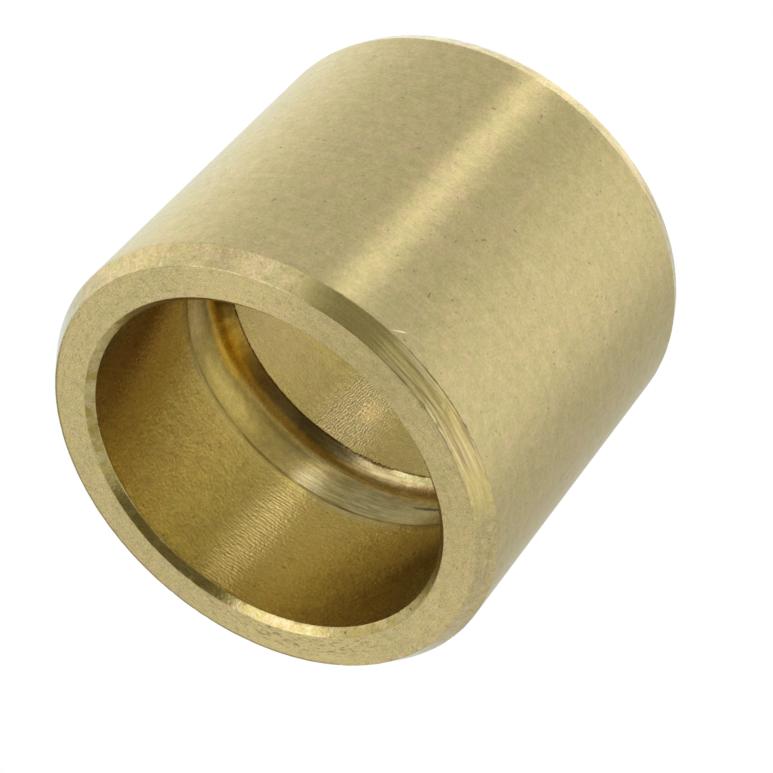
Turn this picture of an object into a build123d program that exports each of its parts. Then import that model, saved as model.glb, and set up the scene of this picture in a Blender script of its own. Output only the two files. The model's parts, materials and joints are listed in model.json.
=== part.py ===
from build123d import *
from math import radians, tan
import os

# Bronze sleeve bushing: one turned ring with a through bore and a lubricant groove inside it.
# Millimetres. The axis is Z, the lead-in end stands on Z = 0 and the chamfered face is on top.

# Driving dimensions
BORE_DIAMETER = 35.0
OUTER_DIAMETER = 45.0
LENGTH = 40.0

FACE_CHAMFER_LENGTH = 1.9     # steep chamfer round the top face, measured along the axis
FACE_CHAMFER_DEPTH = 1.15     # and its radial depth
LEAD_CHAMFER_LENGTH = 1.6     # shallow lead-in chamfer round the bottom end
LEAD_CHAMFER_DEPTH = 0.55
MOUTH_CHAMFER = 0.75          # 45 degree chamfer at both mouths of the bore

GROOVE_BOTTOM = 16.0          # height of the lubricant groove's sharp lower edge
GROOVE_WIDTH = 8.3
GROOVE_DEPTH = 1.6            # deepest point below the bore wall
LIP_LENGTH = 1.0              # the groove's upper edge, eased into the bore
LIP_DEPTH = 0.2
UNDERCUT_LENGTH = 0.5         # steep shoulder from the lip down to the groove's floor
UNDERCUT_DEPTH = 0.9
RUNOUT_ANGLE = 48.0           # slope, from the axis, that rises to the groove's sharp lower edge
RUNOUT_RADIUS = 2.2           # tool radius between the floor and that slope

# Derived radii and heights
bore_radius = BORE_DIAMETER / 2
outer_radius = OUTER_DIAMETER / 2
groove_top = GROOVE_BOTTOM + GROOVE_WIDTH
lip_foot = groove_top - LIP_LENGTH
runout_length = GROOVE_DEPTH / tan(radians(RUNOUT_ANGLE))


def corner(radial_depth, height):
    """Profile point at a radial depth outward from the bore wall."""
    return (bore_radius + radial_depth, height)


runout_foot = corner(GROOVE_DEPTH, GROOVE_BOTTOM + runout_length)

# The sleeve is half of its section, turned about the axis.
with BuildPart() as bushing_sleeve:
    with BuildSketch(Plane.XZ) as section:
        with BuildLine():
            Polyline(
                corner(0, groove_top),
                corner(0, LENGTH - MOUTH_CHAMFER),
                corner(MOUTH_CHAMFER, LENGTH),
                (outer_radius - FACE_CHAMFER_DEPTH, LENGTH),
                (outer_radius, LENGTH - FACE_CHAMFER_LENGTH),
                (outer_radius, LEAD_CHAMFER_LENGTH),
                (outer_radius - LEAD_CHAMFER_DEPTH, 0),
                corner(MOUTH_CHAMFER, 0),
                corner(0, MOUTH_CHAMFER),
                corner(0, GROOVE_BOTTOM),
                runout_foot,
                corner(LIP_DEPTH + UNDERCUT_DEPTH, lip_foot - UNDERCUT_LENGTH),
                corner(LIP_DEPTH, lip_foot),
                close=True,
            )
        make_face()
        fillet(section.vertices().sort_by_distance(runout_foot)[0], radius=RUNOUT_RADIUS)
    revolve(axis=Axis.Z)
bushing_sleeve.part.label = "bushing_sleeve"

os.makedirs("parts", exist_ok=True)
export_step(bushing_sleeve.part, "parts/bushing_sleeve.step")
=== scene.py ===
import json
import math
import bpy
import numpy as np
from mathutils import Matrix, Vector


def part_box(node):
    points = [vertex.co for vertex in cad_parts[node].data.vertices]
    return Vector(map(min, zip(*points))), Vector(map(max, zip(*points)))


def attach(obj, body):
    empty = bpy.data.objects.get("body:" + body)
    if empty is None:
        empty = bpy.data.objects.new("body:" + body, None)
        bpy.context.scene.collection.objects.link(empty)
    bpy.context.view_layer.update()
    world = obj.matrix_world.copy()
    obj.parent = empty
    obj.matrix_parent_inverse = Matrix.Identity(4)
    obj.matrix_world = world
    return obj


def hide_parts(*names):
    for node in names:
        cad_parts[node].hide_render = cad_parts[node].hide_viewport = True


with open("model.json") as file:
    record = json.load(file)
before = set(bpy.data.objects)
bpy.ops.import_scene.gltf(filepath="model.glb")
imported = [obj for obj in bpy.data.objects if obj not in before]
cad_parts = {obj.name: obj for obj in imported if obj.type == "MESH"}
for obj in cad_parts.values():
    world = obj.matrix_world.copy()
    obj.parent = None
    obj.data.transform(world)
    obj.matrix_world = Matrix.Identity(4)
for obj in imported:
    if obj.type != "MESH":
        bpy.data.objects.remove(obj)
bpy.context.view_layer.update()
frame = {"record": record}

MM = 0.001
chance = np.random.default_rng(45)   # seeded, so that the marks are the same in each run

# Sizes: what the frame gives, then the turned details that it doesn't state
low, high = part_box("bushing_sleeve")
mounts = {mount["name"]: mount for mount in frame["record"]["mounts"]}
LENGTH = high.z - low.z
OUTER_RADIUS = high.x
BORE_RADIUS = mounts["shaft_bore"]["dims"]["r_mm"] * MM

FACE_CHAMFER_LENGTH = 1.9 * MM
FACE_CHAMFER_DEPTH = 1.15 * MM
LEAD_CHAMFER_LENGTH = 1.6 * MM
LEAD_CHAMFER_DEPTH = 0.55 * MM
MOUTH_CHAMFER = 0.75 * MM
GROOVE_BOTTOM = 16.0 * MM
GROOVE_WIDTH = 8.3 * MM
GROOVE_DEPTH = 1.6 * MM
LIP_LENGTH = 1.0 * MM        # the groove's upper edge, eased into the bore
LIP_DEPTH = 0.2 * MM
UNDERCUT_LENGTH = 0.5 * MM   # the hidden shoulder under the lip
UNDERCUT_DEPTH = 0.9 * MM
RUNOUT_ANGLE = math.radians(48)
RUNOUT_RADIUS = 2.2 * MM

FACE_RADIUS = OUTER_RADIUS - FACE_CHAMFER_DEPTH
SHOULDER = LENGTH - FACE_CHAMFER_LENGTH
GROOVE_TOP = GROOVE_BOTTOM + GROOVE_WIDTH

SEGMENTS = 600               # columns of faces round the axis, under 0.24 mm wide each


# ---------------------------------------------------------------- camera

CAMERA_ELEVATION = math.radians(42.84)
CAMERA_ROLL = math.radians(220.79)
CAMERA_LENS = 132.67
FACE_DISTANCE = 0.24951      # along the view, to the centre of the top face
FACE_OFFSET_RIGHT = -0.01115
FACE_OFFSET_DOWN = 0.00761
NEAREST = 0.01               # nothing nearer the camera is drawn


def add_camera():
    """The camera looks along +Y and down, rolled about its own line of sight."""
    forward = Vector((0, math.cos(CAMERA_ELEVATION), -math.sin(CAMERA_ELEVATION)))
    level_right = Vector((1, 0, 0))
    level_up = level_right.cross(forward)
    right = level_right * math.cos(CAMERA_ROLL) + level_up * math.sin(CAMERA_ROLL)
    up = level_up * math.cos(CAMERA_ROLL) - level_right * math.sin(CAMERA_ROLL)
    face_centre = Vector((0, 0, LENGTH))
    place = (face_centre - forward * FACE_DISTANCE
             - right * FACE_OFFSET_RIGHT + up * FACE_OFFSET_DOWN)
    data = bpy.data.cameras.new("camera")
    data.lens = CAMERA_LENS
    data.clip_start = NEAREST
    camera = bpy.data.objects.new("camera", data)
    bpy.context.scene.collection.objects.link(camera)
    turn = Matrix((right, up, -forward)).transposed().to_4x4()
    camera.matrix_world = Matrix.Translation(place) @ turn
    bpy.context.scene.camera = camera


add_camera()


# ---------------------------------------------------------------- the turned profile

EDGE = 0.06 * MM             # edge break of the lathe tool
SHARP = 0.02 * MM            # the corners left sharp
LIP_EDGE = 0.40 * MM         # the groove's upper edge is rubbed round
BESIDE_CORNER = 0.3 * MM     # a ring this far from each corner keeps its nicks short
LONG_SIDE = 4 * BESIDE_CORNER
ARC_STEP = 0.14 * MM         # longest step along a rounded corner
ARC_STEPS = 3                # fewest steps along one

LIP_FOOT = Vector((BORE_RADIUS + LIP_DEPTH, GROOVE_TOP - LIP_LENGTH))
RUNOUT_FOOT = Vector((BORE_RADIUS + GROOVE_DEPTH,
                      GROOVE_BOTTOM + GROOVE_DEPTH / math.tan(RUNOUT_ANGLE)))
FLOOR_TOP = LIP_FOOT + Vector((UNDERCUT_DEPTH, -UNDERCUT_LENGTH))
FLOOR_ANGLE = math.atan2(RUNOUT_FOOT.x - FLOOR_TOP.x, FLOOR_TOP.y - RUNOUT_FOOT.y)
RUNOUT_EDGE = RUNOUT_RADIUS * math.tan((RUNOUT_ANGLE + FLOOR_ANGLE) / 2)

# Each corner: radius and height, how far its rounding reaches along both sides, then the
# surface that follows it and the spacing of the rings on that surface.
CORNERS = [
    (BORE_RADIUS + MOUTH_CHAMFER, 0, EDGE, "faced", 0.9 * MM),
    (OUTER_RADIUS - LEAD_CHAMFER_DEPTH, 0, EDGE, "chamfer", 0.4 * MM),
    (OUTER_RADIUS, LEAD_CHAMFER_LENGTH, EDGE, "turned", 3.0 * MM),
    (OUTER_RADIUS, SHOULDER, EDGE, "chamfer", 0.075 * MM),
    (FACE_RADIUS, LENGTH, EDGE, "faced", 0.45 * MM),
    (BORE_RADIUS + MOUTH_CHAMFER, LENGTH, EDGE, "mouth", 0.2 * MM),
    (BORE_RADIUS, LENGTH - MOUTH_CHAMFER, EDGE, "bored", 2.5 * MM),
    (BORE_RADIUS, GROOVE_TOP, LIP_EDGE, "groove", 0.2 * MM),
    (LIP_FOOT.x, LIP_FOOT.y, SHARP, "groove", 0.3 * MM),
    (FLOOR_TOP.x, FLOOR_TOP.y, EDGE, "groove", 0.3 * MM),
    (RUNOUT_FOOT.x, RUNOUT_FOOT.y, RUNOUT_EDGE, "groove", 0.14 * MM),
    (BORE_RADIUS, GROOVE_BOTTOM, SHARP, "bored", 2.5 * MM),
    (BORE_RADIUS, MOUTH_CHAMFER, EDGE, "mouth", 0.3 * MM),
]
SURFACES = ["faced", "chamfer", "turned", "mouth", "bored", "groove", "curl"]


def profile_rings():
    """The closed outline as rings (radius, height, surface), with every corner rounded."""
    rings = []
    count = len(CORNERS)
    for i, (radius, height, edge, surface, spacing) in enumerate(CORNERS):
        here = Vector((radius, height))
        before = Vector(CORNERS[i - 1][:2])
        after = Vector(CORNERS[(i + 1) % count][:2])
        towards_before = (before - here).normalized()
        towards_after = (after - here).normalized()
        # An arc as a rational curve: its weight is the cosine of half the corner's turn
        weight = math.cos(towards_after.angle(-towards_before) / 2)
        steps = max(ARC_STEPS, round(2 * edge / ARC_STEP))
        for k in range(steps + 1):
            t = k / steps
            first, middle, last = (1 - t) ** 2, 2 * weight * t * (1 - t), t ** 2
            offset = (towards_before * first + towards_after * last) * edge
            point = here + offset / (first + middle + last)
            rings.append((point.x, point.y, surface if k == steps else CORNERS[i - 1][3]))
        start = here + towards_after * edge
        end = after - towards_after * CORNERS[(i + 1) % count][2]
        length = (end - start).length
        beside = BESIDE_CORNER if spacing > BESIDE_CORNER and length > LONG_SIDE else 0
        inner = length - 2 * beside
        pieces = max(1, round(inner / spacing))
        marks = [beside + inner * k / pieces for k in range(pieces + 1)]
        for mark in marks if beside else marks[1:-1]:
            point = start + towards_after * mark
            rings.append((point.x, point.y, surface))
    return rings


# ---------------------------------------------------------------- marks in the shape

def wander(angles, waves):
    """Smooth random line round the part, from -1 to 1: a sum of sines of 3 waves and more."""
    line = np.zeros_like(angles)
    for count in range(3, waves):
        line += chance.uniform(-1, 1) * np.sin(count * angles + chance.uniform(0, 2 * math.pi))
    return line / np.abs(line).max()


def window(values, first, last, soft):
    """1 between first and last, and 0 outside them, with soft ends."""
    rise = np.clip((values - first) / soft + 0.5, 0, 1)
    fall = np.clip((last - values) / soft + 0.5, 0, 1)
    return rise * rise * (3 - 2 * rise) * fall * fall * (3 - 2 * fall)


def wrapped(values):
    """Angles in degrees, brought within -180 and 180."""
    return (values + 180) % 360 - 180


# Broken edges aren't quite even round the part
EDGE_WAVER = 0.012 * MM
EDGE_WAVES = 90
EDGE_REACH = 1.5             # times the edge's own size

# Steps left by the tool where the face chamfer was turned in short passes: the stretch of the
# chamfer that has them, their pitch down its slope, and how far they climb round the part
STEPS_FROM = -137
STEPS_TO = -90
STEPS_FADE = 12
STEP_PITCH = 0.17 * MM
STEP_DEPTH = 0.050 * MM
STEP_CLIMB = 0.018 * MM      # for each degree
STEP_UNEVENNESS = 0.5        # in steps
STEP_WAVES = 30
STEP_COUNT = 40              # more than the slope has, so that each has its own level

# Nicks in the edges: azimuth, radius, height, half width round the part, half length across
# the edge, and depth, where a burr has a negative depth
NICK_REACH = 2.5             # half lengths, past which a nick is too shallow to matter
NICKS = [
    (94, BORE_RADIUS + MOUTH_CHAMFER, LENGTH, 0.16 * MM, 0.35 * MM, 0.07 * MM),
    (-33.6, FACE_RADIUS, LENGTH, 0.22 * MM, 0.45 * MM, 0.10 * MM),
    (-112, OUTER_RADIUS - 0.35 * MM, SHOULDER + 0.6 * MM, 0.22 * MM, 0.25 * MM, 0.03 * MM),
    (-125, OUTER_RADIUS - 0.1 * MM, SHOULDER + 0.2 * MM, 0.30 * MM, 0.18 * MM, 0.03 * MM),
]
for azimuth in (-24.6, -31.6, -35.6, -38.1, -43.1, -131, -134.5):
    NICKS.append((azimuth, OUTER_RADIUS, SHOULDER, 0.18 * MM, 0.20 * MM, -0.055 * MM))
for azimuth in (-97, -100, -101.5, -105, -108, -109.5, -114, -117, -121, -123):
    NICKS.append((azimuth, OUTER_RADIUS, SHOULDER, 0.28 * MM, 0.18 * MM, 0.045 * MM))
for azimuth in (4.4, 2.4, -3.6, -15.6, -25.6, -31.6):
    NICKS.append((azimuth, FACE_RADIUS, LENGTH, 0.18 * MM, 0.20 * MM, 0.05 * MM))

# Small nicks at random places along an edge: their number, the azimuths they lie between, the
# edge's radius and height, and the size and depth of a large one
SCATTERED = [
    (26, -150, -99, FACE_RADIUS, LENGTH, 0.20 * MM, 0.035 * MM),
    (26, -180, 180, FACE_RADIUS, LENGTH, 0.18 * MM, 0.035 * MM),
    (22, -180, 180, OUTER_RADIUS, SHOULDER, 0.18 * MM, 0.03 * MM),
    (40, -180, 180, BORE_RADIUS + MOUTH_CHAMFER, LENGTH, 0.16 * MM, 0.035 * MM),
    (30, -180, 180, BORE_RADIUS, LENGTH - MOUTH_CHAMFER, 0.16 * MM, 0.03 * MM),
    (20, -180, 180, OUTER_RADIUS - LEAD_CHAMFER_DEPTH, 0, 0.2 * MM, 0.03 * MM),
    (20, -180, 180, OUTER_RADIUS, LEAD_CHAMFER_LENGTH, 0.2 * MM, 0.03 * MM),
]
for count, first, last, radius, height, size, depth in SCATTERED:
    for _ in range(count):
        azimuth = chance.uniform(first, last)
        wide = chance.uniform(0.5, 1.4) * size
        long = chance.uniform(0.6, 1.2) * size
        NICKS.append((azimuth, radius, height, wide, long, chance.uniform(0.3, 1.0) * depth))

# Teeth torn in the groove's sharp lower edge, and the waver of the lip above it
TEETH_FROM = 104
TEETH_TO = 124
TEETH_FADE = 8
TOOTH_HEIGHT = 0.22 * MM
TOOTH_LEAST = -0.3           # squared with the rest, so that few teeth are tall
RAGGEDNESS = 0.03 * MM       # along the whole edge
AT_EDGE = 0.1 * MM           # rings this near the edge are torn with it
LIP_WAVER = 0.14 * MM
LIP_WAVES = 14
LIP_REACH = 2.0 * MM         # the waver fades out this far above and below the lip


def ring_normals(rings):
    """Outward normal of the outline at each ring, as (radial, axial)."""
    normals = []
    count = len(rings)
    for i in range(count):
        radial = rings[(i + 1) % count][0] - rings[i - 1][0]
        axial = rings[(i + 1) % count][1] - rings[i - 1][1]
        length = math.hypot(radial, axial)
        normals.append((axial / length, -radial / length))
    return normals


def tool_marks(rings):
    """How far each vertex sinks under the ideal outline, for each ring and column."""
    angles = np.arange(SEGMENTS) * 2 * math.pi / SEGMENTS
    azimuths = wrapped(np.degrees(angles))
    sunk = np.zeros((len(rings), SEGMENTS))
    waver = {}
    unevenness = STEP_UNEVENNESS * wander(angles, STEP_WAVES)
    step_levels = chance.uniform(0, 1, STEP_COUNT)
    for i, (radius, height, surface) in enumerate(rings):
        for k, (corner_radius, corner_height, edge, _, _) in enumerate(CORNERS):
            away = math.hypot(radius - corner_radius, height - corner_height)
            if edge >= EDGE and away < EDGE_REACH * edge:
                if k not in waver:
                    waver[k] = wander(angles, EDGE_WAVES)
                sunk[i] += EDGE_WAVER * waver[k]
        if surface == "chamfer" and height > SHOULDER:
            slope = math.hypot(radius - FACE_RADIUS, LENGTH - height)
            turns = (slope + STEP_CLIMB * (STEPS_TO - azimuths)) / STEP_PITCH + unevenness
            here = window(azimuths, STEPS_FROM, STEPS_TO, STEPS_FADE)
            sunk[i] += STEP_DEPTH * np.interp(turns, np.arange(STEP_COUNT), step_levels) * here
        for azimuth, nick_radius, nick_height, wide, long, depth in NICKS:
            across = math.hypot(radius - nick_radius, height - nick_height) / long
            if across < NICK_REACH:
                aside = np.radians(wrapped(azimuths - azimuth)) * nick_radius / wide
                sunk[i] += depth * np.exp(-aside ** 2 - across ** 2)
    return sunk


def torn_edge(rings):
    """Axial shift of the groove's edges: its lower edge is torn into teeth, its lip wavers."""
    azimuths = wrapped(np.arange(SEGMENTS) * 360 / SEGMENTS)
    shift = np.zeros((len(rings), SEGMENTS))
    teeth = TOOTH_HEIGHT * chance.uniform(TOOTH_LEAST, 1.0, SEGMENTS) ** 2
    teeth *= window(azimuths, TEETH_FROM, TEETH_TO, TEETH_FADE)
    ragged = RAGGEDNESS * chance.uniform(-1, 1, SEGMENTS)
    lip = LIP_WAVER * wander(np.radians(azimuths), LIP_WAVES)
    for i, (radius, height, surface) in enumerate(rings):
        if surface == "groove":
            shift[i] = lip * max(0, 1 - abs(height - LIP_FOOT.y) / LIP_REACH)
        if math.hypot(radius - BORE_RADIUS, height - GROOVE_BOTTOM) < AT_EDGE:
            shift[i] = teeth + ragged
    return shift


# A thin curl of metal left standing on the outer wall, beside the shoulder
CURL_FROM = -91.2            # its azimuth where it leaves the shoulder
CURL_TO = -94.9
CURL_DROP = 1.2 * MM         # how far it runs down the wall
CURL_WIDTH = 0.26 * MM
CURL_LIFT = 0.045 * MM
CURL_SUNK = 0.02 * MM        # its foot is just under the wall
CURL_LEAN = 0.4              # how far its crest leans, in half widths
CURL_STEPS = 16


def burr_curl(first):
    """Vertices and faces of the curl, a pointed ridge; its vertices are numbered from first."""
    run = Vector((math.radians(CURL_TO - CURL_FROM) * OUTER_RADIUS, -CURL_DROP))
    aside = Vector((run.y, -run.x)).normalized()
    foot = OUTER_RADIUS - CURL_SUNK
    vertices = []
    faces = []
    for k in range(CURL_STEPS + 1):
        along = k / CURL_STEPS
        # Nearly pointed at both ends, and thickest past its middle
        swell = math.sin(math.pi * (0.05 + 0.90 * along ** 1.5)) ** 0.6
        half = CURL_WIDTH * swell / 2
        crest = OUTER_RADIUS + CURL_LIFT * swell
        for side, radius in ((-half, foot), (CURL_LEAN * half, crest), (half, foot)):
            place = run * along + aside * side
            turn = math.radians(CURL_FROM) + place.x / OUTER_RADIUS
            vertices.append((radius * math.cos(turn), radius * math.sin(turn), SHOULDER + place.y))
    for k in range(CURL_STEPS):
        for side in range(3):
            here = first + 3 * k + side
            beside = first + 3 * k + (side + 1) % 3
            faces.append((here, beside, beside + 3, here + 3))
    last = first + 3 * CURL_STEPS
    faces.append((first + 2, first + 1, first))
    faces.append((last, last + 1, last + 2))
    return vertices, faces


def lathe(name, rings):
    """Mesh of the outline turned about Z, with one material index for each surface."""
    outline = np.array([ring[:2] for ring in rings])
    normals = np.array(ring_normals(rings))
    angles = np.arange(SEGMENTS) * 2 * math.pi / SEGMENTS
    sunk = tool_marks(rings)
    radius = outline[:, :1] - normals[:, :1] * sunk
    height = outline[:, 1:] - normals[:, 1:] * sunk + torn_edge(rings)
    vertices = np.stack([radius * np.cos(angles), radius * np.sin(angles), height], axis=2)
    faces = []
    indices = []
    for ring, (_, _, surface) in enumerate(rings):
        following = (ring + 1) % len(rings)
        for column in range(SEGMENTS):
            beside = (column + 1) % SEGMENTS
            faces.append((ring * SEGMENTS + column, ring * SEGMENTS + beside,
                          following * SEGMENTS + beside, following * SEGMENTS + column))
            indices.append(SURFACES.index(surface))
    curl_vertices, curl_faces = burr_curl(len(rings) * SEGMENTS)
    faces += curl_faces
    indices += [SURFACES.index("curl")] * len(curl_faces)
    mesh = bpy.data.meshes.new(name)
    mesh.from_pydata(vertices.reshape(-1, 3).tolist() + curl_vertices, [], faces)
    mesh.polygons.foreach_set("material_index", indices)
    mesh.shade_smooth()
    for polygon in mesh.polygons[-len(curl_faces):]:
        polygon.use_smooth = False
    piece = bpy.data.objects.new(name, mesh)
    bpy.context.scene.collection.objects.link(piece)
    return piece


sleeve = lathe("turned_sleeve", profile_rings())
weighted = sleeve.modifiers.new("weighted_normals", "WEIGHTED_NORMAL")
weighted.keep_sharp = True


# ---------------------------------------------------------------- materials

class Nodes:
    """Short names for the nodes that the materials and the world are made of."""

    def __init__(self, tree):
        self.tree = tree

    def new(self, kind, **settings):
        node = self.tree.nodes.new(kind)
        for name, value in settings.items():
            setattr(node, name, value)
        return node

    def put(self, socket, value):
        """Link the socket to another node's output, or set it to a plain value."""
        if isinstance(value, bpy.types.NodeSocket):
            self.tree.links.new(value, socket)
        else:
            socket.default_value = value

    def maths(self, operation, a, b=0.0, c=0.0):
        node = self.new("ShaderNodeMath", operation=operation)
        for socket, value in zip(node.inputs, (a, b, c)):
            self.put(socket, value)
        return node.outputs[0]

    def vector(self, operation, a, b):
        node = self.new("ShaderNodeVectorMath", operation=operation)
        self.put(node.inputs[0], a)
        self.put(node.inputs[3 if operation == "SCALE" else 1], b)
        return node.outputs["Value" if operation == "DOT_PRODUCT" else "Vector"]

    def combine(self, x, y, z):
        node = self.new("ShaderNodeCombineXYZ")
        for socket, value in zip(node.inputs, (x, y, z)):
            self.put(socket, value)
        return node.outputs[0]

    def ramp(self, value, first, last, start=0.0, end=1.0):
        """Smooth step from start to end, as the value goes from first to last."""
        node = self.new("ShaderNodeMapRange", interpolation_type="SMOOTHSTEP")
        for socket, number in zip(node.inputs, (value, first, last, start, end)):
            self.put(socket, number)
        return node.outputs["Result"]

    def noise(self, place, detail=2.0):
        """Noise of about one lump to a unit, from 0 to 1 round 0.5."""
        node = self.new("ShaderNodeTexNoise")
        self.put(node.inputs["Vector"], place)
        self.put(node.inputs["Scale"], 1.0)
        self.put(node.inputs["Detail"], detail)
        return node.outputs["Fac"]


# A colour mix's sockets by number, because it has several of each name
MIX_FACTOR, MIX_A, MIX_B, MIX_RESULT = 0, 6, 7, 2


class Bronze(Nodes):
    """A machined bronze surface, whose colour and relief grow mark by mark. Lengths are in mm."""

    def __init__(self, name, colour, across):
        material = bpy.data.materials.new("bronze_" + name)
        material.use_nodes = True
        super().__init__(material.node_tree)
        self.material = material
        self.colour = (*colour, 1)
        self.relief = 0.0
        point = self.new("ShaderNodeTexCoord").outputs["Object"]
        self.point = self.vector("SCALE", point, 1 / MM)
        split = self.new("ShaderNodeSeparateXYZ")
        self.put(split.inputs[0], self.point)
        self.x, self.y, self.height = split.outputs
        level = self.combine(self.x, self.y, 0.0)
        length = self.new("ShaderNodeVectorMath", operation="LENGTH")
        self.put(length.inputs[0], level)
        self.radius = length.outputs["Value"]
        self.azimuth = self.maths("DEGREES", self.maths("ARCTAN2", self.y, self.x))
        # Distance across the tool marks: up a wall, out along a face, or down a chamfer
        self.across = {"height": self.height, "radius": self.radius,
                       "slope": self.maths("SUBTRACT", self.height, self.radius)}[across]

    def lumps(self, size, detail=2.0, seed=0.0):
        """Noise with lumps of that size, in 0 to 1."""
        shifted = self.vector("ADD", self.vector("SCALE", self.point, 1 / size),
                              (seed, 2 * seed, 3 * seed))
        return self.noise(shifted, detail)

    def streaks(self, pitch, length, detail=1.0, seed=0.0):
        """Noise drawn out round the part, like tool marks, in 0 to 1."""
        place = self.combine(self.maths("MULTIPLY_ADD", self.x, 1 / length, seed),
                             self.maths("MULTIPLY_ADD", self.y, 1 / length, 2 * seed),
                             self.maths("MULTIPLY", self.across, 1 / pitch))
        return self.noise(place, detail)

    def patch(self, azimuth, along, half_angle, half_length, soft=0.6, ragged=0.0, size=0.6):
        """Mask of one oval spot, by its azimuth in degrees and its place across the marks."""
        aside = self.maths("SUBTRACT", self.azimuth, azimuth)
        aside = self.maths("WRAP", aside, 180.0, -180.0)
        aside = self.maths("MULTIPLY", aside, 1 / half_angle)
        above = self.maths("SUBTRACT", self.across, along)
        above = self.maths("MULTIPLY", above, 1 / half_length)
        squares = self.maths("ADD", self.maths("MULTIPLY", aside, aside),
                             self.maths("MULTIPLY", above, above))
        distance = self.maths("SQRT", squares)
        if ragged:
            distance = self.maths("MULTIPLY_ADD", self.lumps(size, 3.0), ragged, distance)
            distance = self.maths("SUBTRACT", distance, ragged / 2)
        return self.ramp(distance, 1.0, 1.0 - soft)

    def both(self, mask, other):
        """Mask of what two masks share."""
        return self.maths("MULTIPLY", mask, other)

    def tint(self, mask, colour, most=1.0):
        """Mix a colour in where the mask is 1."""
        node = self.new("ShaderNodeMix", data_type="RGBA")
        self.put(node.inputs[MIX_FACTOR], self.maths("MULTIPLY", mask, most))
        self.put(node.inputs[MIX_A], self.colour)
        self.put(node.inputs[MIX_B], (*colour, 1))
        self.colour = node.outputs[MIX_RESULT]

    def blotches(self, colour, most, size, first, last, detail=3.0, seed=0.0):
        """Mix a colour in where noise with lumps of that size goes from first up to last."""
        self.tint(self.ramp(self.lumps(size, detail, seed), first, last), colour, most)

    def spots(self, rows):
        """Mix in oval spots, each given as its colour, its strength and a patch's values."""
        for colour, most, *place in rows:
            self.tint(self.patch(*place), colour, most)

    def shade(self, mask, spread):
        """Darken the colour by that part of it where the mask is 0; lighten it where it's 1."""
        factor = self.maths("MULTIPLY_ADD", mask, 2 * spread, 1 - spread)
        self.colour = self.vector("SCALE", self.colour, factor)

    def emboss(self, mask, depth):
        """Add a relief of that height, in mm, to the bump."""
        self.relief = self.maths("MULTIPLY_ADD", mask, depth, self.relief)

    def finish(self, roughness, spread, anisotropy):
        """The shader: roughness varies by spread, and the tool marks run round the axis."""
        shader = self.tree.nodes["Principled BSDF"]
        self.put(shader.inputs["Base Color"], self.colour)
        shader.inputs["Metallic"].default_value = 1
        shader.inputs["Anisotropic"].default_value = anisotropy
        shader.inputs["Anisotropic Rotation"].default_value = 0.25
        patchy = self.lumps(0.9, 4.0, seed=7.3)
        uneven = self.maths("MULTIPLY_ADD", patchy, 2 * spread, roughness - spread)
        self.put(shader.inputs["Roughness"], uneven)
        tangent = self.new("ShaderNodeTangent", direction_type="RADIAL", axis="Z")
        self.put(shader.inputs["Tangent"], tangent.outputs[0])
        bump = self.new("ShaderNodeBump")
        bump.inputs["Strength"].default_value = 1
        bump.inputs["Distance"].default_value = MM
        self.put(bump.inputs["Height"], self.relief)
        self.put(shader.inputs["Normal"], bump.outputs[0])
        return self.material


BRONZE = (0.685, 0.572, 0.266)
OLIVE_BRONZE = (0.66, 0.575, 0.26)
PINK_BRONZE = (0.745, 0.58, 0.31)
BROWN_BRONZE = (0.52, 0.37, 0.11)
GREY_BRONZE = (0.42, 0.365, 0.145)
# Colour of the faces' darker sectors, partly their tone and partly painted shade
TONE_AND_SHADE_BRONZE = (0.54, 0.44, 0.18)
BRIGHT_BRONZE = (0.86, 0.72, 0.31)
# Colour of a painted reflection of the bore's far wall
AMBER_REFLECTION = (0.78, 0.47, 0.04)
SOOT = (0.10, 0.08, 0.03)
# Colour of painted dark reflections in the groove
DARK_REFLECTION = (0.11, 0.065, 0.022)
# A dark reddish colour, for the groove's sharp lower edge
DARK_REDDISH = (0.16, 0.07, 0.03)

# Places across the marks, in mm
FACE_EDGE = FACE_RADIUS / MM
FACE_MIDDLE = (BORE_RADIUS + FACE_RADIUS) / 2 / MM
MOUTH_MIDDLE = (LENGTH - MOUTH_CHAMFER / 2) / MM
CHAMFER_EDGE = (LENGTH - FACE_RADIUS) / MM
CHAMFER_MIDDLE = 17.0
SLOPE_STRETCH = 1.3          # a slope's place, height less radius, grows faster than its length
SHARP_EDGE = GROOVE_BOTTOM / MM
RUNOUT_START = 18.3
LIP_START = GROOVE_TOP / MM
LIP_END = LIP_FOOT.y / MM

# Spots: colour, strength, azimuth, place across the marks, half angle and half length, then,
# where they aren't the usual ones, how soft and how ragged the edge is, and its lumps' size
# Lighter and darker sectors of the end faces: partly their own uneven tone, partly painted light
# and shade.
FACE_SPOTS = [
    (TONE_AND_SHADE_BRONZE, 0.55, -92, FACE_MIDDLE, 30, 8, 0.9),
    (TONE_AND_SHADE_BRONZE, 0.30, -135, FACE_MIDDLE, 50, 8, 0.9),
    (BRIGHT_BRONZE, 0.60, -55, FACE_MIDDLE, 22, 8, 0.9),
    (BRIGHT_BRONZE, 0.60, 130, FACE_MIDDLE, 35, 8, 0.9),
]
MOUTH_SPOTS = [
    ((0.40, 0.30, 0.07), 0.7, 25, MOUTH_MIDDLE, 30, 2.0),
    # a painted reflection, lighter, on the chamfer's far side
    ((0.85, 0.72, 0.30), 0.9, -27, MOUTH_MIDDLE, 14, 2.0),
]
MOUTH_SPECKS = [
    (SOOT, 0.8, 176.9, MOUTH_MIDDLE, 0.5, 0.14),
    (SOOT, 0.8, 147.9, MOUTH_MIDDLE, 0.5, 0.14),
]
UPPER_LAND_SPOTS = [
    # a painted dark reflection on the upper land
    ((0.20, 0.16, 0.05), 0.3, 155, 30.3, 9, 4.0, 0.9, 0.3),
    ((0.60, 0.38, 0.13), 0.6, 22, 33.0, 34, 12.0, 0.9, 0.3),
]
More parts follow.
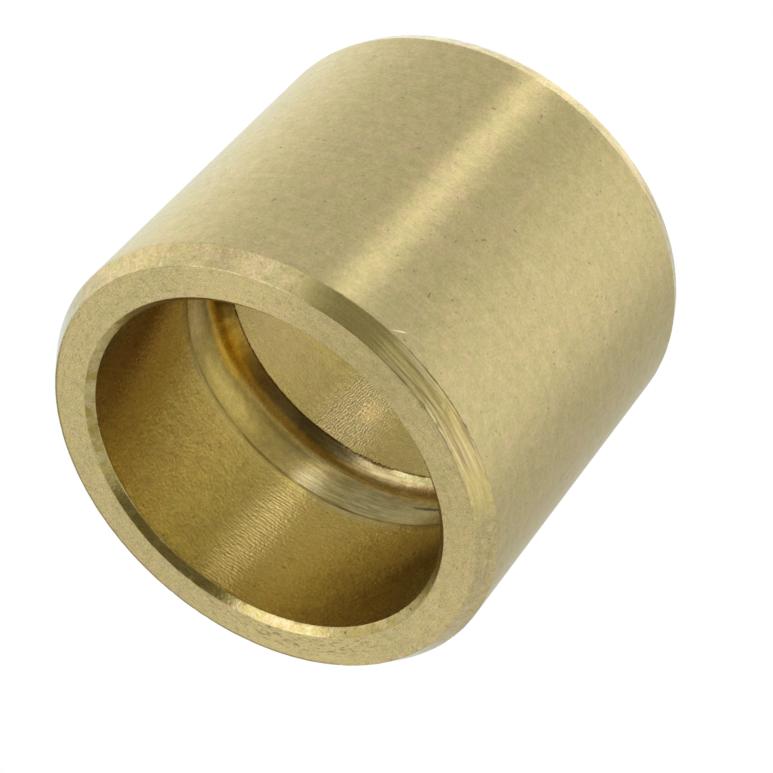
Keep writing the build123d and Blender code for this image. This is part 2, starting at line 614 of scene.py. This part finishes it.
LOWER_LAND_SPOTS = [
    ((0.48, 0.365, 0.16), 0.45, 58, 12.0, 34, 6.0, 0.7),
    # a painted highlight in the chatter marks' streak
    ((0.95, 0.66, 0.26), 0.5, 103.5, 10.4, 5, 2.6, 0.9, 0.2),
]
GROOVE_FLOOR_SPOTS = [
    (GREY_BRONZE, 0.8, 128, 20.5, 26, 2.6, 0.8),
    ((0.36, 0.26, 0.06), 0.9, 55, 20.5, 50, 5.0, 0.5, 0.3, 2.0),
    ((0.60, 0.46, 0.13), 0.8, 66, 20.8, 20, 2.2, 0.8, 0.6, 1.2),
    ((0.60, 0.50, 0.26), 0.8, 101.5, 21.6, 7, 2.4, 0.6, 0.4),
    ((0.28, 0.20, 0.05), 0.7, 88, 18.6, 26, 0.8, 0.9),
]
RUNOUT_SPOTS = [
    ((0.50, 0.35, 0.075), 0.95, 34, 16.8, 30, 2.0, 0.5),
    ((0.90, 0.62, 0.13), 0.7, 48, 17.7, 26, 0.6, 0.8),
    ((0.50, 0.42, 0.15), 0.7, 118, 16.7, 9, 1.0, 0.6),
    ((0.26, 0.16, 0.03), 0.95, 33, 16.3, 18, 1.3, 0.6),
    ((0.34, 0.17, 0.03), 0.7, 66, 16.5, 20, 1.2, 0.8),
    ((0.70, 0.54, 0.21), 0.8, 28, 21.0, 22, 3.0, 0.6),       # a clean stretch of the floor
    # a painted reflection of the bore's far wall
    (AMBER_REFLECTION, 0.9, 57, 17.4, 17, 2.0, 0.9, 0.4),
    ((0.44, 0.27, 0.06), 0.5, 95, 17.3, 22, 0.6, 0.7),
    # a painted highlight in the run-out's bright band
    ((0.95, 0.74, 0.30), 0.6, 125, 17.5, 12, 0.5, 0.8),
    # painted dark reflections near the groove's sharp lower edge
    (DARK_REFLECTION, 0.55, 83, 16.2, 24, 1.3, 0.9, 0.3),
    (DARK_REFLECTION, 0.68, 97, 16.0, 18, 1.5, 0.5, 0.3),
    # a painted highlight in the run-out's bright band
    ((0.90, 0.84, 0.34), 0.9, 132, 16.1, 14, 0.65, 0.5, 0.3, 0.5),
    (SOOT, 0.9, 139.5, 19.2, 8, 0.30, 0.5, 0.9, 0.4),        # a dark line on the floor
    (DARK_REDDISH, 0.9, 115, 16.0, 9, 0.34, 0.4, 1.4, 0.16),
]


def mottle(surface, broad, fine, fine_size):
    """Uneven brightness: broad lumps and a fine grain, each by its share of the colour."""
    surface.shade(surface.lumps(0.9, 3.0, seed=2.2), broad)
    surface.shade(surface.lumps(fine_size, 3.0, seed=4.4), fine)


def specks(surface):
    """A few dark specks."""
    surface.blotches(SOOT, 0.45, 0.45, 0.71, 0.78, detail=1.0, seed=9.1)


def machined(surface, grain, broad, tint, relief):
    """What the outside has all over: uneven tint, mottle, fine grain and specks."""
    surface.blotches(PINK_BRONZE, tint, 1.6, 0.42, 0.62, seed=1.7)
    surface.blotches(OLIVE_BRONZE, tint, 2.1, 0.45, 0.65, seed=5.1)
    mottle(surface, broad, grain, 0.24)
    specks(surface)
    surface.emboss(surface.lumps(0.3, 2.0, seed=3.3), relief)


def turned_bronze():
    """Outer wall: brushed lines round it, lightly uneven."""
    surface = Bronze("turned", BRONZE, "height")
    machined(surface, grain=0.24, broad=0.16, tint=0.6, relief=0.009)
    surface.shade(surface.streaks(0.35, 9.0, 2.0, seed=1.1), 0.08)
    surface.emboss(surface.streaks(0.25, 3.0, 2.0, seed=2.5), 0.010)
    surface.emboss(surface.lumps(5.0, 1.0, seed=8.8), 0.05)
    return surface.finish(roughness=0.31, spread=0.05, anisotropy=0.9)


def faced_bronze():
    """The two end faces: fine rings, a muted mottle, grime, scratches, lighter and darker sectors
    that are partly painted light and shade, and a dark rim of painted shade.
    """
    surface = Bronze("faced", (0.72, 0.597, 0.262), "radius")
    machined(surface, grain=0.40, broad=0.22, tint=0.55, relief=0.010)
    surface.spots(FACE_SPOTS)
    surface.blotches((0.77, 0.59, 0.31), 0.45, 0.8, 0.48, 0.62, seed=6.9)
    surface.blotches((0.42, 0.33, 0.16), 0.45, 0.6, 0.60, 0.70, detail=4.0, seed=3.6)
    scratches = surface.ramp(surface.streaks(0.14, 1.1, 1.0, seed=8.3), 0.68, 0.76)
    surface.tint(scratches, (0.26, 0.18, 0.09), 0.55)
    grime = surface.ramp(surface.streaks(0.18, 0.8, 3.0, seed=2.9), 0.52, 0.64)
    grimy = surface.patch(130, FACE_MIDDLE - 0.3, 38, 1.5, soft=0.6, ragged=0.8)
    surface.tint(surface.both(grime, grimy), (0.34, 0.25, 0.10), 0.75)
    surface.shade(surface.lumps(0.13, 1.0, seed=6.4), 0.38)
    surface.shade(surface.streaks(0.22, 3.0, 2.0, seed=1.1), 0.12)
    # Painted shade: a darker rim along the face's outer edge, over part of the way round.
    rim = surface.ramp(surface.radius, FACE_EDGE - 0.30, FACE_EDGE - 0.12)
    shaded_rim_stretch = surface.patch(75, FACE_EDGE, 76, 4.0, soft=0.3, ragged=0.4)
    surface.tint(surface.both(rim, shaded_rim_stretch), (0.24, 0.18, 0.08), 0.7)
    surface.emboss(surface.streaks(0.2, 3.0, 2.0, seed=2.5), 0.008)
    surface.emboss(surface.lumps(1.2, 2.0, seed=8.8), 0.02)
    return surface.finish(roughness=0.36, spread=0.06, anisotropy=0.6)


def chamfer_bronze():
    """The long outer chamfers, with streaks where the face chamfer was turned in steps."""
    surface = Bronze("chamfer", (0.71, 0.58, 0.27), "slope")
    machined(surface, grain=0.44, broad=0.28, tint=0.9, relief=0.006)
    surface.tint(surface.patch(-104, CHAMFER_MIDDLE, 42, 6.0, soft=0.3), (0.71, 0.585, 0.21), 0.7)
    surface.shade(surface.streaks(0.4, 3.0, 2.0, seed=1.1), 0.14)
    surface.emboss(surface.streaks(0.3, 2.0, 2.0, seed=2.5), 0.012)
    fade = 14
    starts = surface.ramp(surface.azimuth, STEPS_FROM, STEPS_FROM + fade)
    ends = surface.ramp(surface.azimuth, STEPS_TO, STEPS_TO - fade)
    stepped = surface.both(starts, ends)
    # From here on the streaks climb like the steps do
    climb = surface.maths("MULTIPLY", surface.azimuth, -STEP_CLIMB / MM * SLOPE_STRETCH)
    surface.across = surface.maths("ADD", surface.across, climb)
    torn = surface.ramp(surface.streaks(0.30, 5.0, 3.0, seed=6.2), 0.36, 0.50, 1.0, 0.0)
    surface.tint(surface.both(torn, stepped), (0.46, 0.31, 0.16), 0.85)
    # Pale streaks along the steps: painted highlights on the real tool steps.
    bright = surface.ramp(surface.streaks(0.33, 6.0, 2.0, seed=3.9), 0.50, 0.62)
    surface.tint(surface.both(bright, stepped), (0.88, 0.745, 0.42), 0.7)
    # Darker along the chamfer's inner edge, over a stretch round the part.
    rim = surface.ramp(surface.height, LENGTH / MM - 0.16, LENGTH / MM - 0.06)
    highlight_and_edge_zone = surface.patch(-105, CHAMFER_EDGE, 22, 3.0, soft=0.5, ragged=0.5)
    surface.tint(surface.both(rim, highlight_and_edge_zone), (0.32, 0.25, 0.10), 0.7)
    return surface.finish(roughness=0.27, spread=0.05, anisotropy=0.8)


def mouth_bronze():
    """The small chamfers at the mouths of the bore."""
    surface = Bronze("mouth", (0.56, 0.45, 0.145), "height")
    surface.spots(MOUTH_SPOTS)
    machined(surface, grain=0.40, broad=0.20, tint=0.6, relief=0.012)
    surface.shade(surface.streaks(0.2, 2.0, 2.0, seed=1.1), 0.10)
    surface.emboss(surface.streaks(0.2, 2.0, 2.0, seed=2.5), 0.008)
    surface.spots(MOUTH_SPECKS)
    return surface.finish(roughness=0.22, spread=0.05, anisotropy=0.6)


def curl_bronze():
    """The thin burr, which is torn and bright; its pale colour is partly a painted highlight."""
    surface = Bronze("curl", (0.66, 0.59, 0.39), "height")
    machined(surface, grain=0.20, broad=0.12, tint=0.2, relief=0.004)
    return surface.finish(roughness=0.30, spread=0.05, anisotropy=0.0)


def feed_ribs(surface):
    """Ribs left by the boring tool, painted lighter and darker only along one streak: a painted
    highlight on one side of the bore.
    """
    feed = 0.38
    phase = surface.maths("MULTIPLY", surface.streaks(1.2, 2.0, 2.0, seed=4.8), 14.0)
    turns = surface.maths("MULTIPLY_ADD", surface.height, 2 * math.pi / feed, phase)
    ribs = surface.ramp(surface.maths("SINE", turns), -0.7, 0.7)
    # A golden painted highlight round the bore's highlight streak.
    surface.tint(surface.patch(110, 31.5, 24, 12, soft=0.9), (0.80, 0.62, 0.19), 0.7)
    # Painted highlight and shade: the ribs lighter and the furrows darker, only along the streak.
    highlight_and_edge_zone = surface.patch(100, 31.5, 11, 12, soft=0.7)
    surface.tint(surface.both(ribs, highlight_and_edge_zone), (0.98, 0.79, 0.37), 0.75)
    furrows = surface.maths("SUBTRACT", 1.0, ribs)
    surface.tint(surface.both(furrows, highlight_and_edge_zone), (0.36, 0.26, 0.07), 0.3)


def chatter_marks(surface):
    """Ripples from chatter on the land below the groove: two crossed, bent waves and noise; where
    the land's highlight streak falls, their crests and troughs are painted light and dark.
    """
    below = surface.ramp(surface.height, SHARP_EDGE, SHARP_EDGE - 0.1)
    bend = surface.maths("MULTIPLY", surface.lumps(0.9, 2.0, seed=6.6), 17.0)
    ripples = surface.maths("MULTIPLY_ADD", surface.lumps(0.17, 1.0, seed=8.2), 4.0, -2.0)
    degrees_apart = 0.9
    # Each wave slants by one ripple in that many mm up the bore
    for climb, most in ((2.6, 0.9), (-1.1, 0.35)):
        rise = surface.maths("MULTIPLY_ADD", surface.height, 2 * math.pi / climb, bend)
        turn = surface.maths("MULTIPLY_ADD", surface.azimuth, 2 * math.pi / degrees_apart, rise)
        ripples = surface.maths("MULTIPLY_ADD", surface.maths("SINE", turn), most, ripples)
    surface.emboss(surface.both(ripples, below), 0.0055)
    # Painted highlight and shade: light crests and dark troughs only where the land's highlight
    # streak falls.
    ripple_highlight_zone = surface.both(below, surface.patch(100, 12.0, 14, 12, soft=0.7))
    crests = surface.ramp(ripples, 0.1, 0.8)
    surface.tint(surface.both(crests, ripple_highlight_zone), (0.98, 0.80, 0.50), 0.9)
    troughs = surface.ramp(ripples, -0.1, -0.8)
    surface.tint(surface.both(troughs, ripple_highlight_zone), (0.26, 0.185, 0.08), 0.8)
    surface.tint(below, (0.50, 0.405, 0.16), 0.4)


def bored_bronze():
    """Bore: browner, ribbed by the boring tool, with its chatter below the groove; both are
    painted light and dark along their highlight streaks.
    """
    surface = Bronze("bored", (0.59, 0.445, 0.12), "height")
    surface.blotches(BROWN_BRONZE, 0.6, 1.8, 0.42, 0.66, seed=1.7)
    surface.blotches((0.60, 0.50, 0.14), 0.7, 1.4, 0.50, 0.70, seed=5.7)
    mottle(surface, 0.16, 0.44, 0.26)
    surface.shade(surface.streaks(0.3, 1.0, 2.0, seed=1.1), 0.10)
    feed_ribs(surface)
    surface.spots(UPPER_LAND_SPOTS)
    specks(surface)
    surface.emboss(surface.streaks(0.33, 0.8, 1.0, seed=2.5), 0.016)
    surface.emboss(surface.lumps(0.3, 2.0, seed=3.3), 0.036)
    chatter_marks(surface)
    surface.spots(LOWER_LAND_SPOTS)
    # The rounded edge where the upper land dips into the groove
    above = surface.ramp(surface.height, SHARP_EDGE, LIP_START - 1)
    under = surface.ramp(surface.height, LIP_START + 0.3, LIP_START)
    surface.tint(surface.both(above, under), (0.40, 0.30, 0.09), 0.55)
    return surface.finish(roughness=0.27, spread=0.05, anisotropy=0.9)


def painted_shade_under_lip(surface):
    """Painted shade in the corner under the lip, uneven, and fainter where the azimuth is under
    45.
    """
    under = surface.both(surface.ramp(surface.height, LIP_END - 1.15, LIP_END - 0.85),
                         surface.ramp(surface.height, LIP_END + 0.32, LIP_END + 0.06))
    strength = surface.ramp(surface.lumps(3.0, 2.0, seed=6.3), 0.38, 0.58, 0.45, 1.0)
    faint = surface.ramp(surface.azimuth, 75, 45, 1.0, 0.5)
    strength = surface.both(strength, faint)
    surface.tint(surface.both(under, strength), (0.17, 0.11, 0.025))


def groove_bronze():
    """Groove: a greyer floor, painted shade under the lip, and stains and painted reflections
    where the tool ran out.
    """
    surface = Bronze("groove", (0.45, 0.35, 0.125), "height")
    surface.blotches(BROWN_BRONZE, 0.6, 1.8, 0.42, 0.62, seed=1.7)
    surface.blotches((0.50, 0.42, 0.13), 0.7, 1.3, 0.50, 0.68, seed=5.7)
    surface.spots(GROOVE_FLOOR_SPOTS)
    runout = surface.ramp(surface.height, RUNOUT_START, RUNOUT_START - 0.6)
    surface.tint(runout, (0.78, 0.58, 0.22), 0.9)
    surface.spots(RUNOUT_SPOTS)
    lip = surface.ramp(surface.height, LIP_END, LIP_END + 0.1)
    surface.tint(lip, (0.38, 0.29, 0.055), 0.9)
    mottle(surface, 0.20, 0.30, 0.26)
    surface.shade(surface.streaks(0.30, 3.0, 2.0, seed=1.1), 0.14)
    # Tool lines on the floor, painted lighter and darker only round the groove's highlights: real
    # lines with a painted highlight and shade.
    lines = surface.ramp(surface.streaks(0.16, 2.5, 1.0, seed=5.1), 0.36, 0.64)
    ruled = surface.patch(115, 19.0, 26, 8.0, soft=0.6)
    surface.tint(surface.both(lines, ruled), (0.70, 0.62, 0.34), 0.35)
    between = surface.maths("SUBTRACT", 1.0, lines)
    surface.tint(surface.both(between, ruled), (0.20, 0.15, 0.05), 0.35)
    # Painted shade in the corner under the lip.
    painted_shade_under_lip(surface)
    # A dark reddish line along the groove's sharp lower edge.
    edge = surface.maths("SUBTRACT", surface.height, SHARP_EDGE)
    surface.tint(surface.ramp(edge, 0.04, 0.14, 1.0, 0.0), DARK_REDDISH, 0.85)
    surface.emboss(surface.streaks(0.3, 1.2, 1.0, seed=2.5), 0.010)
    surface.emboss(surface.lumps(0.3, 2.0, seed=3.3), 0.008)
    return surface.finish(roughness=0.27, spread=0.05, anisotropy=0.8)


MATERIALS = {"faced": faced_bronze, "chamfer": chamfer_bronze, "turned": turned_bronze,
             "mouth": mouth_bronze, "bored": bored_bronze, "groove": groove_bronze,
             "curl": curl_bronze}
for surface in SURFACES:
    sleeve.data.materials.append(MATERIALS[surface]())

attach(sleeve, "root")
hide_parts("bushing_sleeve")


# ---------------------------------------------------------------- stage and light

FLOOR_SIZE = 6.0


def add_floor():
    """A plain floor with a white glow that only the camera sees, so it doesn't light the part."""
    half = FLOOR_SIZE / 2
    mesh = bpy.data.meshes.new("floor")
    mesh.from_pydata([(-half, -half, 0), (half, -half, 0), (half, half, 0), (-half, half, 0)],
                     [], [(0, 1, 2, 3)])
    floor = bpy.data.objects.new("floor", mesh)
    bpy.context.scene.collection.objects.link(floor)
    material = bpy.data.materials.new("floor_pale")
    material.use_nodes = True
    nodes = material.node_tree.nodes
    nodes.clear()
    glow = nodes.new("ShaderNodeEmission")
    glow.inputs["Strength"].default_value = 1.0
    out = nodes.new("ShaderNodeOutputMaterial")
    material.node_tree.links.new(glow.outputs[0], out.inputs["Surface"])
    mesh.materials.append(material)
    floor.visible_glossy = False
    floor.visible_diffuse = False
    floor.visible_shadow = False


add_floor()

# Soft panels of a light tent all round the part, and below it too, so that its whole wall is
# lit. Angles are in degrees: azimuth round Z from X, elevation above the floor. A panel adds
# its brightness to the tent's own light, and the two openings take some away.
WHITE = (1, 1, 1)
COOL = (0.62, 1.0, 1.48)
DIM = (0.97, 1.0, 1.12)      # an opening takes away more of the blue
BASE_LIGHT = 0.60
LEAST_LIGHT = 0.03
PANELS = [
    # azimuth, elevation, half width, half height, soft edge, brightness, colour
    (28, -45, 19, 60, 26, 0.44, WHITE),                   # left wall
    (80, -40, 26, 40, 24, 0.50, COOL),                    # left edge
    (-38, 11, 13, 10, 8, 0.32, WHITE),                    # left low
    (2, 27, 22, 9, 12, 0.26, WHITE),                      # left top
    (2, -2, 16, 12, 10, 0.30, WHITE),                     # left rim
    (-18, 45, 20, 12, 5, 1.15, (1.0, 1.0, 1.35)),         # left high
    (-66, -45, 4, 42, 6, 0.48, WHITE),                    # key
    (-64, -62, 4, 12, 8, 1.00, WHITE),                    # key foot
    (0, -90, 24, 24, 12, 0.15, WHITE),                    # below
    (-142, -45, 24, 42, 30, 0.33, WHITE),                 # right low
    (-150, 13, 23, 11, 14, 0.42, WHITE),                  # right high
    (88, 40, 20, 20, 20, 0.14, WHITE),                    # back
    (-78, 17, 18, 15, 8, -0.38, DIM),                     # opening low
    (-104, 52, 33, 17, 5, -0.50, DIM),                    # opening high
]


def add_world():
    """Studio light by direction. The camera itself sees plain white past the floor's edge."""
    world = bpy.data.worlds.new("studio")
    bpy.context.scene.world = world
    world.use_nodes = True
    nodes = Nodes(world.node_tree)
    direction = nodes.new("ShaderNodeTexCoord").outputs["Generated"]
    total = (BASE_LIGHT,) * 3
    for azimuth, elevation, half_width, half_height, soft, brightness, colour in PANELS:
        a, e = math.radians(azimuth), math.radians(elevation)
        centre = Vector((math.cos(e) * math.cos(a), math.cos(e) * math.sin(a), math.sin(e)))
        side = Vector((-math.sin(a), math.cos(a), 0))
        above = centre.cross(side)
        ahead = nodes.vector("DOT_PRODUCT", direction, centre)
        mask = brightness
        for axis, half in ((side, half_width), (above, half_height)):
            angle = nodes.maths("ARCTAN2", nodes.vector("DOT_PRODUCT", direction, axis), ahead)
            outside = math.radians(half + soft / 2)
            inside = math.radians(half - soft / 2)
            edge = nodes.ramp(nodes.maths("ABSOLUTE", angle), inside, outside, 1.0, 0.0)
            mask = nodes.maths("MULTIPLY", mask, edge)
        total = nodes.vector("ADD", total, nodes.vector("SCALE", Vector(colour), mask))
    total = nodes.vector("MAXIMUM", total, (LEAST_LIGHT,) * 3)
    seen = nodes.new("ShaderNodeLightPath").outputs["Is Camera Ray"]
    total = nodes.vector("MAXIMUM", total, nodes.combine(seen, seen, seen))
    nodes.put(world.node_tree.nodes["Background"].inputs["Color"], total)


add_world()
bpy.context.scene.view_settings.view_transform = "Standard"
